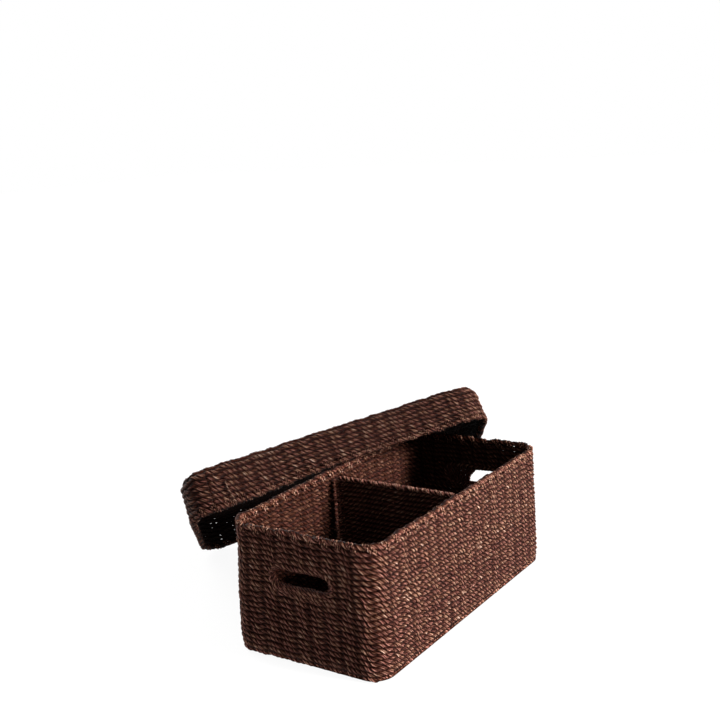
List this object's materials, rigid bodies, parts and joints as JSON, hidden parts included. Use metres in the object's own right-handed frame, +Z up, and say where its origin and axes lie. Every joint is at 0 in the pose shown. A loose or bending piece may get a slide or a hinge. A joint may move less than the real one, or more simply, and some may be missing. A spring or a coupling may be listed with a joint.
{
  "type": "woven storage trunk with lid",
  "caption": "Long woven cord storage trunk with a fixed divider, a cut-out handle slot in each end and a deep lift-off lid leaning over its rear corner.",
  "frame": {"origin": "middle of the trunk's underside, on the floor", "axes": "+X along the trunk towards the end the lid leans over, +Y towards the rear wall, +Z up"},
  "size_m": [0.6421, 0.5836, 0.2934],
  "materials": {
    "wire": "dark lacquered steel wire",
    "cord_weave": "matt twisted plant-fibre cord, reddish brown",
    "cord_border": "matt twisted plant-fibre cord, reddish brown"
  },
  "bodies": {
    "trunk": {"frame_base_ring": "wire", "frame_top_ring": "wire", "frame_corner_posts": "wire", "frame_side_stakes": "wire", "frame_end_stakes": "wire", "base_cross_wires": "wire", "base_long_wires": "wire", "base_weave": "cord_weave", "base_border": "cord_weave", "front_wall_weave": "cord_weave", "rear_wall_weave": "cord_weave", "left_end_weave": "cord_weave", "right_end_weave": "cord_weave", "rim_border": "cord_border", "left_handle_loop": "wire", "left_handle_binding": "cord_border", "right_handle_loop": "wire", "right_handle_binding": "cord_border", "divider_frame": "wire", "divider_weave": "cord_weave", "divider_border": "cord_border", "divider_lacings": "cord_border"},
    "lid": {"lid_rim_ring": "wire", "lid_top_ring": "wire", "lid_corner_struts": "wire", "lid_cross_wires": "wire", "lid_long_wires": "wire", "lid_panel_weave": "cord_weave", "lid_front_skirt": "cord_weave", "lid_rear_skirt": "cord_weave", "lid_left_end": "cord_weave", "lid_right_end": "cord_weave", "lid_rim_border": "cord_border"}
  },
  "joints": [
    {"name": "lid_lift", "type": "slide", "parent": "trunk", "child": "lid", "axis": [0, 0, 1], "range_m": [0, 0.25]}
  ]
}
